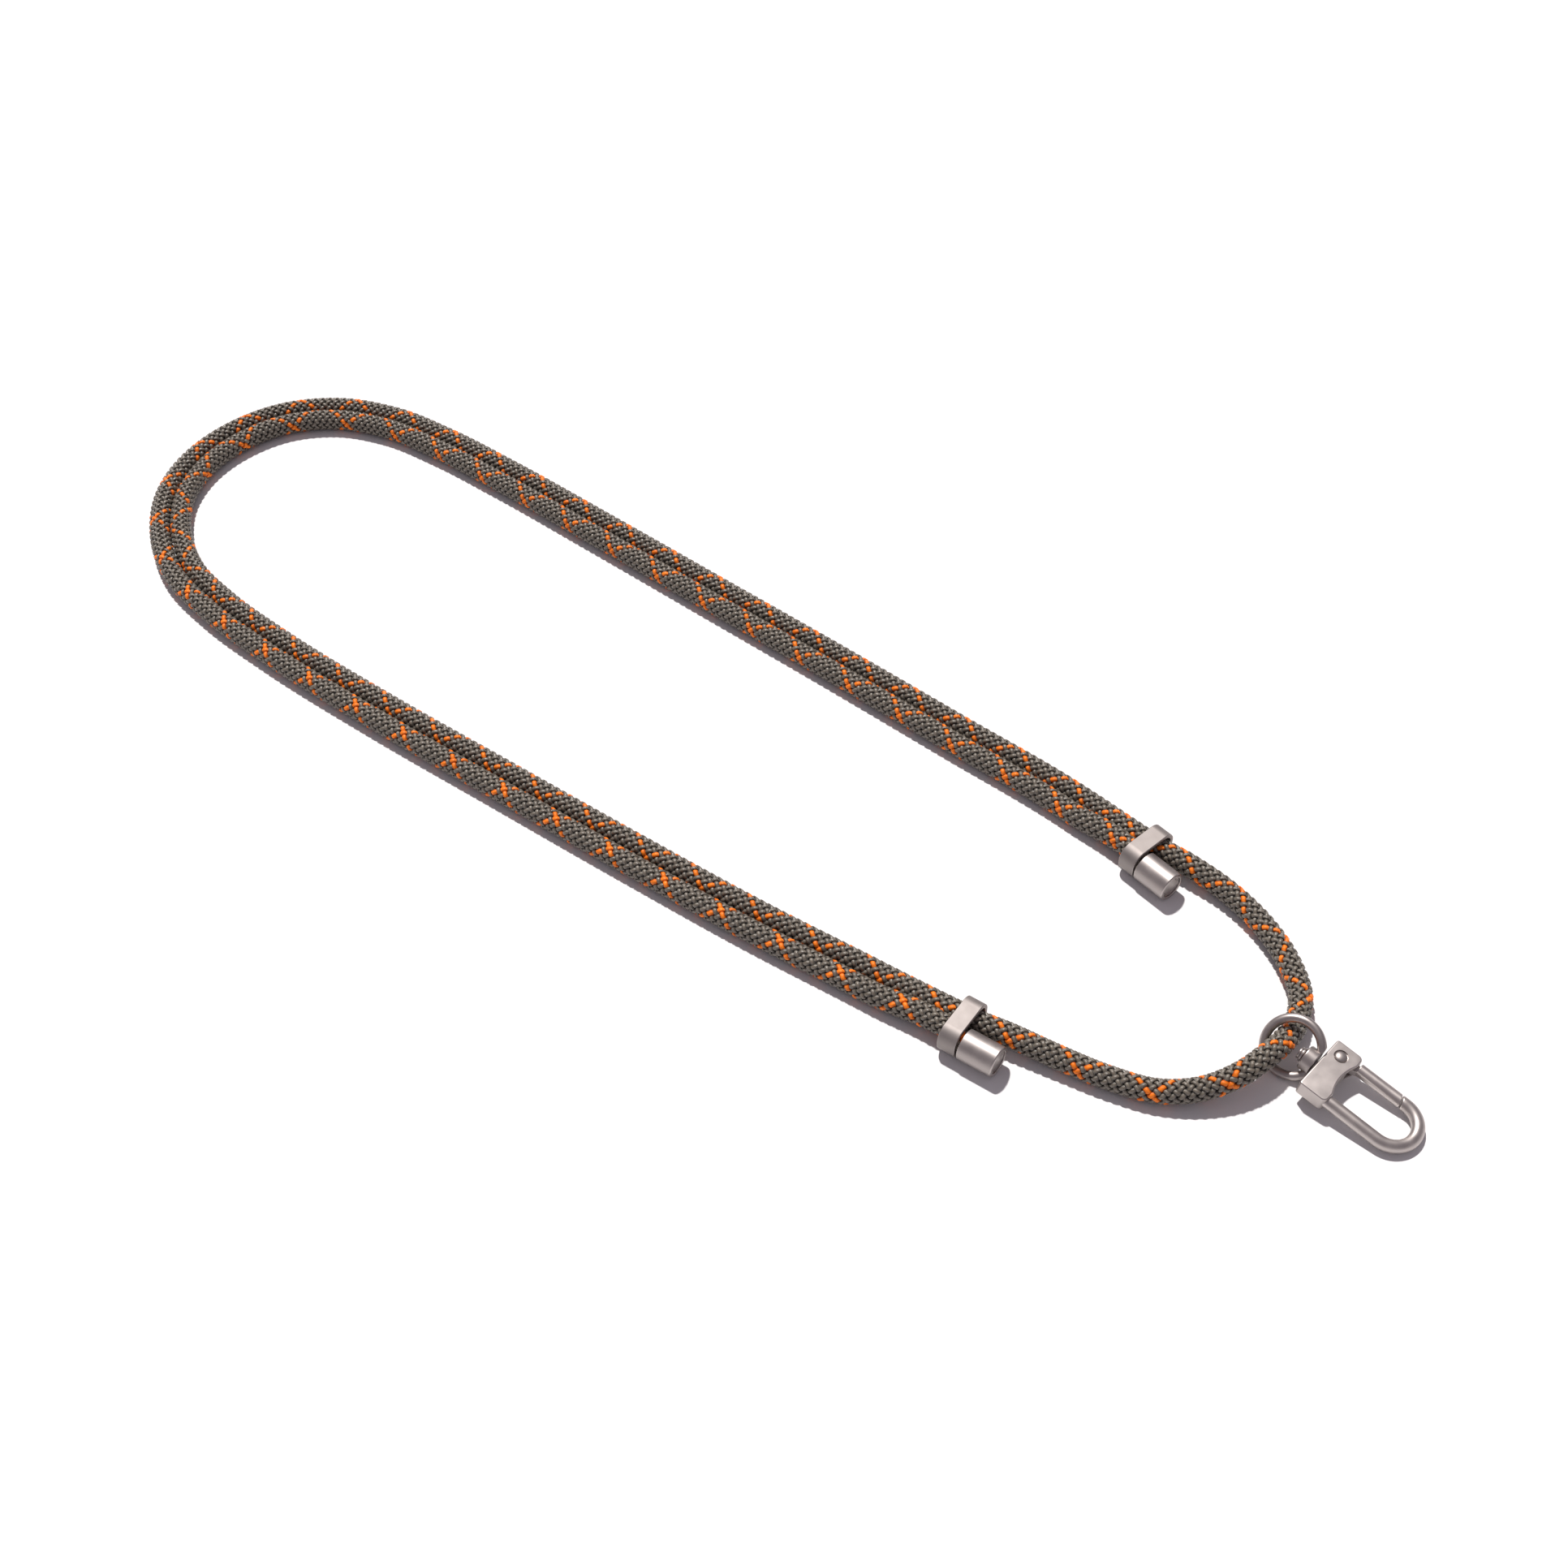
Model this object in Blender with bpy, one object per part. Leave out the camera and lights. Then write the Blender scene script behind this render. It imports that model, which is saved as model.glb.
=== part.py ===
"""Phone crossbody strap.

One round braided rope is doubled through two slider bands and ends in two metal caps.
A swivel snap hook hangs on the single run between the bands. The strap lies flat:
X runs along it towards the hook, Y across it, Z up. All lengths are in metres.
"""

from math import asin, ceil, cos, hypot, pi, radians, sin, tan

import bmesh
import bpy
from mathutils import Matrix, Vector

# Clearance between pieces that touch or turn on each other
GAP = 0.0003

# Rope
ROPE_DIAMETER = 0.0066
ROPE_RADIUS = ROPE_DIAMETER / 2
ROPE_RESOLUTION = 3
ROPE_REST = ROPE_RADIUS + 0.00005
RUN_SPACING = ROPE_DIAMETER + 0.00035
ROPE_CRIMP = 0.94
SAMPLE_STEP = 3.5 * ROPE_DIAMETER
SAMPLE_TURN = radians(28.0)

# Slider bands, each with one passage for two runs of the rope
BAND_WALL = 0.0012
BAND_ROOM = 0.0004
BAND_SIDE = 0.00035
BAND_LENGTH = 0.0056
BAND_HEIGHT = ROPE_DIAMETER + 2 * (BAND_ROOM + BAND_WALL)
BAND_FLAT = 0.0007
BAND_CORNER = BAND_HEIGHT / 2 - BAND_FLAT
BAND_WIDTH = RUN_SPACING + BAND_HEIGHT + 2 * BAND_SIDE
BAND_LIFT = BAND_HEIGHT / 2

# End caps, beside the single run that leaves the same band
CAP_WALL = 0.00115
CAP_LIP = 0.00025
CAP_BORE = ROPE_RADIUS * ROPE_CRIMP + GAP
CAP_RADIUS = CAP_BORE + CAP_WALL
CAP_LENGTH = 0.0108
CAP_NECK = 0.0008
CAP_FLOOR = 0.0016
CAP_SINK = 0.0006
CAP_RIM = 0.0007
CAP_EDGE = 0.0005
CAP_SHIFT = CAP_RADIUS + ROPE_RADIUS + GAP - RUN_SPACING

# Swivel eye: the ring that the rope passes through and the barrel cast onto it
EYE_ROOM = 0.0045
EYE_TRIM = 0.0005
EYE_RADIUS = ROPE_RADIUS + EYE_ROOM
EYE_WIRE = 0.0013
EYE_FLAT = EYE_RADIUS - EYE_TRIM
EYE_ROLL = radians(43.0)
EYE_SEAT = EYE_RADIUS - EYE_WIRE - ROPE_RADIUS - GAP
EYE_SLIDE = -0.0024
BARREL_RADIUS = 0.0036
BARREL_LENGTH = 0.0034

# Swivel pin, whose head lies inside the ring
PIN_RADIUS = 0.00105
PIN_DEPTH = 0.0034
PIN_HEAD = 0.0019
PIN_HEAD_LENGTH = 0.0014
PIN_STEP = 0.0015
SWIVEL_GAP = 0.0005

# Hook block
HOOK_YAW = radians(-4.6)
BLOCK_START = EYE_FLAT + SWIVEL_GAP
BLOCK_LENGTH = 0.0085
BLOCK_FRONT = BLOCK_START + BLOCK_LENGTH
BLOCK_WIDTH = 0.0188
BLOCK_THICKNESS = 0.0050
BLOCK_CORNER = 0.0008
BLOCK_LOBE = 0.0015
BLOCK_EDGE = 0.0004
ARCH_HALF = 0.0058
ARCH_DEPTH = 0.0013

# Hook bar
BAR_RADIUS = 0.00185
BAR_INSET = 0.00035
BAR_ROOT = 0.0030
BAR_OFFSET = BLOCK_WIDTH / 2 - BAR_RADIUS - BAR_INSET
LEG_LENGTH = 0.0156
BEND_CENTRE = BLOCK_FRONT + LEG_LENGTH
NOSE_LENGTH = 0.0020
NOSE_SLANT = radians(18.0)
NOSE_END = BEND_CENTRE - NOSE_LENGTH

# Gate and its rivet
JOINT_GAP = 0.00035
GATE_START = BLOCK_FRONT + 0.0005
GATE_LAP = 0.0007
TAIL_RADIUS = 0.0021
TAIL_THICKNESS = 0.0022
TAIL_NECK = 0.0018
SLOT_MARGIN = 0.0007
RIVET_BACK = 0.0036
RIVET_INSET = 0.0018
RIVET_PLACE = BLOCK_START + RIVET_BACK
RIVET_OFFSET = BAR_OFFSET - RIVET_INSET
RIVET_RADIUS = 0.0009
RIVET_HEAD = 0.00175
RIVET_DOME = 0.0007
SINK_DEPTH = 0.0005

# Facets
RING_STEPS = 40
WIRE_SIDES = 12
BAR_SIDES = 16
BEND_STEPS = 15
TURNED_STEPS = 32
SMALL_STEPS = 20
ARC_STEPS = 8

# The outer run, from band A round the far bend to band B, as chosen by hand
OUTER_RUN = [
    (0.1260, 0.0464), (0.1000, 0.0502), (0.0520, 0.0522), (0.0040, 0.0539),
    (-0.0440, 0.0551), (-0.0920, 0.0563), (-0.1400, 0.0571), (-0.1681, 0.0565),
    (-0.1915, 0.0535), (-0.2111, 0.0450), (-0.2248, 0.0305), (-0.2313, 0.0109),
    (-0.2306, -0.0076), (-0.2231, -0.0256), (-0.2086, -0.0406), (-0.1902, -0.0508),
    (-0.1677, -0.0554), (-0.1400, -0.0571), (-0.0920, -0.0568), (-0.0440, -0.0549),
    (0.0040, -0.0529), (0.0520, -0.0503), (0.0920, -0.0468), (0.1193, -0.0450),
]

# The single run, from band B through the eye to band A, as chosen by hand
SINGLE_RUN = [
    (0.1320, -0.0355, 0.0043), (0.1459, -0.0331, 0.0036), (0.1597, -0.0303, 0.0034),
    (0.1719, -0.0261, 0.0036), (0.1809, -0.0192, 0.0047), (0.1872, -0.0100, 0.0068),
    (0.1903, -0.0001, 0.0079), (0.1909, 0.0089, 0.0059), (0.1902, 0.0160, 0.0040),
    (0.1863, 0.0255, 0.0034), (0.1776, 0.0340, 0.0034), (0.1660, 0.0408, 0.0034),
    (0.1512, 0.0454, 0.0036), (0.1380, 0.0464, 0.0044),
]


def clear_scene():
    """Remove every object of the open scene."""
    for item in list(bpy.data.objects):
        bpy.data.objects.remove(item, do_unlink=True)


def finish(name, color, roughness, metallic):
    """The material of one sub-part."""
    material = bpy.data.materials.new(name)
    material.use_nodes = True
    shader = material.node_tree.nodes["Principled BSDF"]
    shader.inputs["Base Color"].default_value = (*color, 1.0)
    shader.inputs["Roughness"].default_value = roughness
    shader.inputs["Metallic"].default_value = metallic
    return material


def satin_nickel(name):
    """The satin nickel of the fittings."""
    return finish(name, (0.52, 0.49, 0.48), 0.30, 1.0)


def frame_at(place, along):
    """A frame with X along a direction and Y level, to its left."""
    x = Vector(along).normalized()
    y = Vector((0.0, 0.0, 1.0)).cross(x).normalized()
    frame = Matrix((x, y, x.cross(y))).transposed().to_4x4()
    frame.translation = place
    return frame


def place_on(item, frame, parent):
    """Place an object in the world, and under a parent if it has one."""
    if parent is not None:
        item.parent = parent
        item.matrix_parent_inverse = parent.matrix_world.inverted()
    item.matrix_basis = frame
    bpy.context.view_layer.update()


def add_empty(name, frame, parent=None):
    """An empty that carries moving pieces on their joint's axis."""
    empty = bpy.data.objects.new(name, None)
    bpy.context.scene.collection.objects.link(empty)
    place_on(empty, frame, parent)
    return empty


def add_object(name, bm, frame, parent=None, material=None):
    """Turn a bmesh into an object."""
    bmesh.ops.recalc_face_normals(bm, faces=bm.faces)
    mesh = bpy.data.meshes.new(name)
    bm.to_mesh(mesh)
    bm.free()
    mesh.shade_smooth()
    mesh.set_sharp_from_angle(angle=radians(35.0))
    if material is not None:
        mesh.materials.append(material)
    item = bpy.data.objects.new(name, mesh)
    bpy.context.scene.collection.objects.link(item)
    place_on(item, frame, parent)
    return item


def combine(target, name, bm, frame, operation="DIFFERENCE"):
    """Cut a hidden tool out of a piece, or weld it on."""
    tool = add_object(name, bm, frame, target)
    tool.hide_render = True
    tool.display_type = "WIRE"
    modifier = target.modifiers.new(name, "BOOLEAN")
    modifier.object = tool
    modifier.operation = operation
    modifier.solver = "EXACT"


def box(low, high):
    """A box between two corners."""
    size = [b - a for a, b in zip(low, high)]
    middle = [(a + b) / 2 for a, b in zip(low, high)]
    bm = bmesh.new()
    bmesh.ops.create_cube(bm, size=1.0, matrix=Matrix.LocRotScale(middle, None, size))
    return bm


def turned(profile, steps):
    """A solid turned about X from an outline of (along, radius) points, ends on the axis."""
    bm = bmesh.new()
    verts = [bm.verts.new((along, radius, 0.0)) for along, radius in profile]
    edges = [bm.edges.new(pair) for pair in zip(verts, verts[1:])]
    bmesh.ops.spin(bm, geom=verts + edges, cent=(0, 0, 0), axis=(1, 0, 0), dvec=(0, 0, 0),
                   angle=2 * pi, steps=steps, use_merge=True)
    bmesh.ops.remove_doubles(bm, verts=bm.verts, dist=1e-7)
    return bm


def rod(start, end, radius, steps):
    """A plain cylinder along X."""
    return turned([(start, 0.0), (start, radius), (end, radius), (end, 0.0)], steps)


def only_verts(geom):
    """The vertices among some mesh elements."""
    return [item for item in geom if isinstance(item, bmesh.types.BMVert)]


def extrude_end(bm, geom, move):
    """Extrude an end face by a move, and return what the new end is made of."""
    made = bmesh.ops.extrude_face_region(bm, geom=geom)["geom"]
    bmesh.ops.translate(bm, verts=only_verts(made), vec=move)
    return made


def bevel(bm, edges, offset, segments):
    """Round some edges."""
    bmesh.ops.bevel(bm, geom=edges, offset=offset, segments=segments, profile=0.5,
                    affect="EDGES", material=-1)


def plate(outline, thickness):
    """A flat plate, centred on its mid plane, from an outline of (x, y) points."""
    bm = bmesh.new()
    bm.faces.new([bm.verts.new((x, y, -thickness / 2)) for x, y in outline])
    extrude_end(bm, bm.faces[:], (0.0, 0.0, thickness))
    return bm


def arc(centre, radius, start, end, steps):
    """Points of an arc about a centre."""
    angles = [start + (end - start) * step / steps for step in range(steps + 1)]
    return [(centre[0] + radius * cos(a), centre[1] + radius * sin(a)) for a in angles]


def rounded_bar(length, width, height, corner):
    """A bar along X whose section is a rectangle with round corners."""
    bm = box((-length / 2, -width / 2, -height / 2), (length / 2, width / 2, height / 2))
    long_edges = [e for e in bm.edges if abs(e.verts[0].co.x - e.verts[1].co.x) > length / 2]
    bevel(bm, long_edges, corner, ARC_STEPS)
    return bm


def chords(points):
    """Lengths between neighbouring points."""
    return [(b - a).length for a, b in zip(points, points[1:])]


def tangents(points):
    """Directions of the smooth curve through the points, weighted by its chords."""
    spans = chords(points)
    slopes = [(b - a) / span for a, b, span in zip(points, points[1:], spans)]
    inner = [(before * after_span + after * before_span) / (before_span + after_span)
             for before, after, before_span, after_span
             in zip(slopes, slopes[1:], spans, spans[1:])]
    return [2 * slopes[0] - inner[0], *inner, 2 * slopes[-1] - inner[-1]]


def beside(points, offset):
    """The same level run, laid on its own left."""
    left = Matrix.Rotation(pi / 2, 3, "Z")
    return [point + offset * (left @ tangent).normalized()
            for point, tangent in zip(points, tangents(points))]


def raised(points):
    """A run that lies on the floor, with its two ends lifted into the slider bands."""
    heights = [BAND_LIFT] + [ROPE_REST] * (len(points) - 2) + [BAND_LIFT]
    return [Vector((point.x, point.y, height)) for point, height in zip(points, heights)]


def smooth_route(points):
    """Points of the smooth curve through a route, never under the rope's rest height."""
    directions = tangents(points)
    curve = []
    for index, span in enumerate(chords(points)):
        start, end = points[index], points[index + 1]
        leave, arrive = directions[index] * span, directions[index + 1] * span
        pieces = max(1, round(span / SAMPLE_STEP), ceil(leave.angle(arrive) / SAMPLE_TURN))
        for piece in range(pieces):
            t = piece / pieces
            curve.append((2 * t**3 - 3 * t**2 + 1) * start + (t**3 - 2 * t**2 + t) * leave
                         + (3 * t**2 - 2 * t**3) * end + (t**3 - t**2) * arrive)
    curve.append(points[-1])
    return [Vector((point.x, point.y, max(point.z, ROPE_REST))) for point in curve]


def make_rope(route):
    """The rope: one tube from cap to cap, squeezed a little inside the caps."""
    curve = bpy.data.curves.new("rope", "CURVE")
    curve.dimensions = "3D"
    curve.bevel_depth = ROPE_RADIUS
    curve.bevel_resolution = ROPE_RESOLUTION
    curve.use_fill_caps = True
    points = smooth_route(route)
    spline = curve.splines.new("POLY")
    spline.points.add(len(points) - 1)
    for slot, point in zip(spline.points, points):
        slot.co = (*point, 1.0)
    for slot in (*spline.points[:2], *spline.points[-2:]):
        slot.radius = ROPE_CRIMP
    curve.materials.append(finish("rope", (0.10, 0.095, 0.075), 0.75, 0.0))
    rope = bpy.data.objects.new("rope", curve)
    bpy.context.scene.collection.objects.link(rope)


def make_band(name, frame):
    """A slider band: flat above and below, round at its two ends, open right through."""
    outer = rounded_bar(BAND_LENGTH, BAND_WIDTH, BAND_HEIGHT, BAND_CORNER)
    band = add_object(name, outer, frame, material=satin_nickel(name))
    passage = rounded_bar(2 * BAND_LENGTH, BAND_WIDTH - 2 * BAND_WALL,
                          BAND_HEIGHT - 2 * BAND_WALL, BAND_CORNER - BAND_WALL / 2)
    combine(band, name + "_passage", passage, frame)


def make_cap(name, frame):
    """An end cap: a turned cup, closed by a sunk face inside a raised rim."""
    mouth, far = 0.0, CAP_LENGTH
    rim_outer = CAP_RADIUS - CAP_EDGE
    rim_inner = rim_outer - CAP_RIM
    profile = [
        (far - CAP_FLOOR, 0.0), (far - CAP_FLOOR, CAP_BORE), (mouth, CAP_BORE),
        (mouth, CAP_RADIUS - CAP_LIP), (mouth + CAP_LIP, CAP_RADIUS),
        (far - CAP_EDGE, CAP_RADIUS),
        (far, rim_outer), (far, rim_inner), (far - CAP_SINK, rim_inner), (far - CAP_SINK, 0.0),
    ]
    add_object(name, turned(profile, TURNED_STEPS), frame, material=satin_nickel(name))


def swivel_frame():
    """The swivel's frame: the eye hangs on the rope, and lies on the floor as the bend does."""
    outermost = max(SINGLE_RUN)
    place = (outermost[0] + EYE_SEAT, outermost[1] + EYE_SLIDE)
    reach = BEND_CENTRE + BAR_OFFSET
    pitch = 0.0
    for _ in range(20):
        height = EYE_WIRE + EYE_RADIUS * hypot(sin(pitch), cos(pitch) * sin(EYE_ROLL))
        pitch = asin((height - BAR_RADIUS) / reach)
    along = (cos(HOOK_YAW) * cos(pitch), sin(HOOK_YAW) * cos(pitch), -sin(pitch))
    return frame_at((*place, height), along)


def make_eye(frame):
    """The swivel eye: a round ring, cut flat in front, with the drilled barrel on it."""
    bm = bmesh.new()
    section = Matrix.Translation((EYE_RADIUS, 0.0, 0.0)) @ Matrix.Rotation(pi / 2, 4, "X")
    bmesh.ops.create_circle(bm, radius=EYE_WIRE, segments=WIRE_SIDES, matrix=section)
    bmesh.ops.spin(bm, geom=bm.verts[:] + bm.edges[:], cent=(0, 0, 0), axis=(0, 0, 1),
                   dvec=(0, 0, 0), angle=2 * pi, steps=RING_STEPS, use_merge=True)
    rolled = frame @ Matrix.Rotation(EYE_ROLL, 4, "X")
    eye = add_object("swivel_eye", bm, rolled, material=satin_nickel("swivel_eye"))
    reach = 2 * EYE_RADIUS
    barrel = rod(EYE_FLAT - BARREL_LENGTH, reach, BARREL_RADIUS, TURNED_STEPS)
    combine(eye, "eye_barrel", barrel, rolled, "UNION")
    front = box((EYE_FLAT, -reach, -reach), (2 * reach, reach, reach))
    combine(eye, "eye_flat", front, rolled)
    combine(eye, "eye_bore", rod(0.0, reach, PIN_RADIUS + GAP, SMALL_STEPS), rolled)


def make_pin(frame, parent):
    """The swivel pin, headed inside the ring and fixed in the hook's block."""
    head_end = EYE_FLAT - BARREL_LENGTH - GAP
    head_start = head_end - PIN_HEAD_LENGTH
    step = head_start + PIN_HEAD_LENGTH / 2
    end = BLOCK_START + PIN_DEPTH
    profile = [
        (head_start, 0.0), (head_start, PIN_STEP), (step, PIN_STEP), (step, PIN_HEAD),
        (head_end, PIN_HEAD), (head_end, PIN_RADIUS), (end, PIN_RADIUS), (end, 0.0),
    ]
    material = satin_nickel("swivel_pin")
    add_object("swivel_pin", turned(profile, SMALL_STEPS), frame, parent, material)


def block_outline():
    """The block from above: square behind, with an arch between two lobes in front."""
    half = BLOCK_WIDTH / 2
    radius = (ARCH_HALF**2 + ARCH_DEPTH**2) / (2 * ARCH_DEPTH)
    spread = asin(ARCH_HALF / radius)
    centre = (BLOCK_FRONT - ARCH_DEPTH + radius, 0.0)
    arch = arc(centre, radius, pi + spread, pi - spread, ARC_STEPS)
    return [(BLOCK_START, -half), (BLOCK_FRONT, -half), *arch, (BLOCK_FRONT, half),
            (BLOCK_START, half)]


def make_block():
    """The block: a plate with round corners, softened all round its two faces."""
    bm = plate(block_outline(), BLOCK_THICKNESS)
    upright = [e for e in bm.edges if abs(e.verts[0].co.z - e.verts[1].co.z) > GAP]
    outer = [e for e in upright if abs(e.verts[0].co.y) > BLOCK_WIDTH / 2 - GAP]
    middle = (BLOCK_START + BLOCK_FRONT) / 2
    lobes = [e for e in outer if e.verts[0].co.x > middle]
    corners = [e for e in outer if e.verts[0].co.x < middle]
    bevel(bm, lobes, BLOCK_LOBE, ARC_STEPS // 2)
    bevel(bm, corners, BLOCK_CORNER, ARC_STEPS // 2)
    rims = [e for e in bm.edges if e.calc_face_angle() > radians(80.0)]
    bevel(bm, rims, BLOCK_EDGE, 2)
    return bm


def bar_start(bm, along, across):
    """The end face of the round bar, with a facet square to Y and to Z."""
    turn = Matrix.Rotation(pi / 2, 4, "Y") @ Matrix.Rotation(pi / BAR_SIDES, 4, "Z")
    place = Matrix.Translation((along, across, 0.0)) @ turn
    bmesh.ops.create_circle(bm, cap_ends=True, radius=BAR_RADIUS, segments=BAR_SIDES,
                            matrix=place)


def slant(end, outer_side):
    """Shear a bar's end to the slanted joint, whose outer side lies at a given place."""
    for vert in only_verts(end):
        vert.co.x = outer_side + (BAR_OFFSET + BAR_RADIUS - vert.co.y) * tan(NOSE_SLANT)


def hook_bar():
    """The bar: a fixed leg, a half-circle bend and the nose that meets the gate."""
    bm = bmesh.new()
    bar_start(bm, BLOCK_FRONT - BAR_ROOT, -BAR_OFFSET)
    leg_end = extrude_end(bm, bm.faces[:], (BAR_ROOT + LEG_LENGTH, 0.0, 0.0))
    bend = bmesh.ops.spin(bm, geom=leg_end, cent=(BEND_CENTRE, 0, 0), axis=(0, 0, 1),
                          dvec=(0, 0, 0), angle=pi, steps=BEND_STEPS)
    slant(extrude_end(bm, bend["geom_last"], (-NOSE_LENGTH, 0.0, 0.0)), NOSE_END)
    return bm


def rivet_frame(frame):
    """The rivet's frame, with X along its axis, square to the block."""
    place = Matrix.Translation((RIVET_PLACE, RIVET_OFFSET, 0.0))
    return frame @ place @ Matrix.Rotation(-pi / 2, 4, "Y")


def make_hook_body(frame, parent):
    """The hook's body: the block with its bar, slotted for the gate and drilled twice."""
    material = satin_nickel("hook_body")
    body = add_object("hook_body", make_block(), frame, parent, material)
    combine(body, "hook_bar", hook_bar(), frame, "UNION")
    reach = TAIL_RADIUS + SLOT_MARGIN
    height = TAIL_THICKNESS / 2 + GAP
    slot = box((RIVET_PLACE - reach, RIVET_OFFSET - reach, -height),
               (GATE_START, RIVET_OFFSET + reach, height))
    combine(body, "hook_slot", slot, frame)
    bore = rod(0.0, BLOCK_START + PIN_DEPTH + GAP, PIN_RADIUS + GAP, SMALL_STEPS)
    combine(body, "hook_bore", bore, frame)
    across = rivet_frame(frame)
    hole = rod(-BLOCK_THICKNESS, BLOCK_THICKNESS, RIVET_RADIUS + GAP, SMALL_STEPS)
    combine(body, "hook_rivet_hole", hole, across)
    floor = BLOCK_THICKNESS / 2 - SINK_DEPTH
    sink_above = rod(floor, BLOCK_THICKNESS, RIVET_HEAD + GAP, TURNED_STEPS)
    sink_below = rod(-BLOCK_THICKNESS, -floor, RIVET_HEAD + GAP, TURNED_STEPS)
    combine(body, "hook_sink_above", sink_above, across)
    combine(body, "hook_sink_below", sink_below, across)


def make_rivet(frame, parent):
    """The gate's rivet, with a low dome on each side of the block."""
    under = BLOCK_THICKNESS / 2 - SINK_DEPTH + GAP
    quarter = [pi / 2 * step / ARC_STEPS for step in range(ARC_STEPS)]
    dome = [(under + RIVET_DOME * sin(a), RIVET_HEAD * cos(a)) for a in quarter]
    above = [(under, RIVET_RADIUS), *dome, (under + RIVET_DOME, 0.0)]
    below = [(-along, radius) for along, radius in reversed(above)]
    material = satin_nickel("gate_rivet")
    solid = turned(below + above, SMALL_STEPS)
    add_object("gate_rivet", solid, rivet_frame(frame), parent, material)


def make_gate(frame, parent):
    """The gate: a round bar up to the nose, with a flat tail on the rivet."""
    bm = bmesh.new()
    bar_start(bm, GATE_START, BAR_OFFSET)
    slant(extrude_end(bm, bm.faces[:], (NOSE_END - GATE_START, 0.0, 0.0)),
          NOSE_END - JOINT_GAP)
    gate = add_object("gate", bm, frame, parent, satin_nickel("gate"))
    front = GATE_START + GATE_LAP
    outer = RIVET_OFFSET + TAIL_RADIUS
    back = arc((RIVET_PLACE, RIVET_OFFSET), TAIL_RADIUS, pi / 2, 3 * pi / 2, 2 * ARC_STEPS)
    tail = plate([(front, outer), *back, (front, outer - TAIL_NECK)], TAIL_THICKNESS)
    combine(gate, "gate_tail", tail, frame, "UNION")
    hole = rod(-BLOCK_THICKNESS, BLOCK_THICKNESS, RIVET_RADIUS + GAP, SMALL_STEPS)
    combine(gate, "gate_hole", hole, rivet_frame(frame))


def make_strap():
    """The rope with its bands and caps."""
    outer = [Vector((x, y, 0.0)) for x, y in OUTER_RUN]
    inner = beside(outer, RUN_SPACING)
    directions = tangents(outer)
    outer, inner = raised(outer), raised(inner)
    bands = {
        "a": frame_at((outer[0] + inner[0]) / 2, -directions[0]),
        "b": frame_at((outer[-1] + inner[-1]) / 2, directions[-1]),
    }
    to_cap = Matrix.Translation((BAND_LENGTH / 2 + CAP_NECK, -RUN_SPACING / 2 - CAP_SHIFT, 0.0))
    depth = Vector((CAP_LENGTH - CAP_FLOOR - GAP, 0.0, 0.0))
    tails = {}
    for side, band in bands.items():
        make_band("slider_band_" + side, band)
        cap = band @ to_cap
        make_cap("end_cap_" + side, cap)
        tails[side] = [cap.translation, cap @ depth]
    single = [Vector(point) for point in SINGLE_RUN]
    make_rope([*reversed(tails["a"]), *inner, *single, *outer, *tails["b"]])


def make_swivel_hook():
    """The eye on the rope, and the hook that turns in it."""
    frame = swivel_frame()
    make_eye(frame)
    swivel = add_empty("swivel_axis", frame)
    make_pin(frame, swivel)
    make_hook_body(frame, swivel)
    make_rivet(frame, swivel)
    gate_axis = add_empty("gate_axis", rivet_frame(frame), swivel)
    make_gate(frame, gate_axis)


clear_scene()
make_strap()
make_swivel_hook()
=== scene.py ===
from math import asin, atan2, ceil, cos, hypot, pi, radians, sin, tan

import bmesh
import bpy
from mathutils import Matrix, Vector


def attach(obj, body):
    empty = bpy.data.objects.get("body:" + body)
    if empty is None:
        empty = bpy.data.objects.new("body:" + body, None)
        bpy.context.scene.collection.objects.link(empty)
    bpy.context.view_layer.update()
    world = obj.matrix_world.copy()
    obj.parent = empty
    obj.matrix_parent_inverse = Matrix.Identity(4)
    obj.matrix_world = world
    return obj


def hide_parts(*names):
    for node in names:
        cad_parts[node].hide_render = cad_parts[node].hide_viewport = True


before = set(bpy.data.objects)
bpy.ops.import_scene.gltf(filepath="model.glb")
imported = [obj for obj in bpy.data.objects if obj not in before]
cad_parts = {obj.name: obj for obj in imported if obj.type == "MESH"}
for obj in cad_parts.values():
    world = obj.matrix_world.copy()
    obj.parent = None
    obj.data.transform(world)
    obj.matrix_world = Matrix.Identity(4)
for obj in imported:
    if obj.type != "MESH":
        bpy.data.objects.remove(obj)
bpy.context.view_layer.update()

# Camera
# The strap is seen from in front of its lower right side, looking down at it.
CAMERA_PLACE = (0.296, -0.3468, 0.48875)
CAMERA_AZIMUTH = 38.0
CAMERA_DOWN = 47.818

camera_data = bpy.data.cameras.new("camera")
camera_data.lens = 50.0
camera_data.sensor_width = 36.0
camera = bpy.data.objects.new("camera", camera_data)
camera.location = CAMERA_PLACE
camera.rotation_euler = (radians(90.0 - CAMERA_DOWN), 0.0, radians(CAMERA_AZIMUTH))
bpy.context.scene.collection.objects.link(camera)
bpy.context.scene.camera = camera


# Rope core
# A round cord of soft parallel yarn runs under the braid, from inside one end cap round
# the whole strap to inside the other. It only shows as the dark between the plies, and its
# near-black colour is painted shade for those gaps.
ROPE_DIAMETER = 0.0066
ROPE_RADIUS = ROPE_DIAMETER / 2
ROPE_REST = ROPE_RADIUS + 0.00005
ROPE_PROUD = 0.0001
RUN_SPACING = ROPE_DIAMETER + 0.00035
ROPE_CRIMP = 0.94
CORE_RADIUS = 0.0028
ROUTE_STEP = 0.002
# The whole rope's roll about its line, and how far it turns from end to end
ROPE_ROLL = radians(5.0)
ROPE_TWIST = radians(-114.0)
GAP = 0.0003

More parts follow.
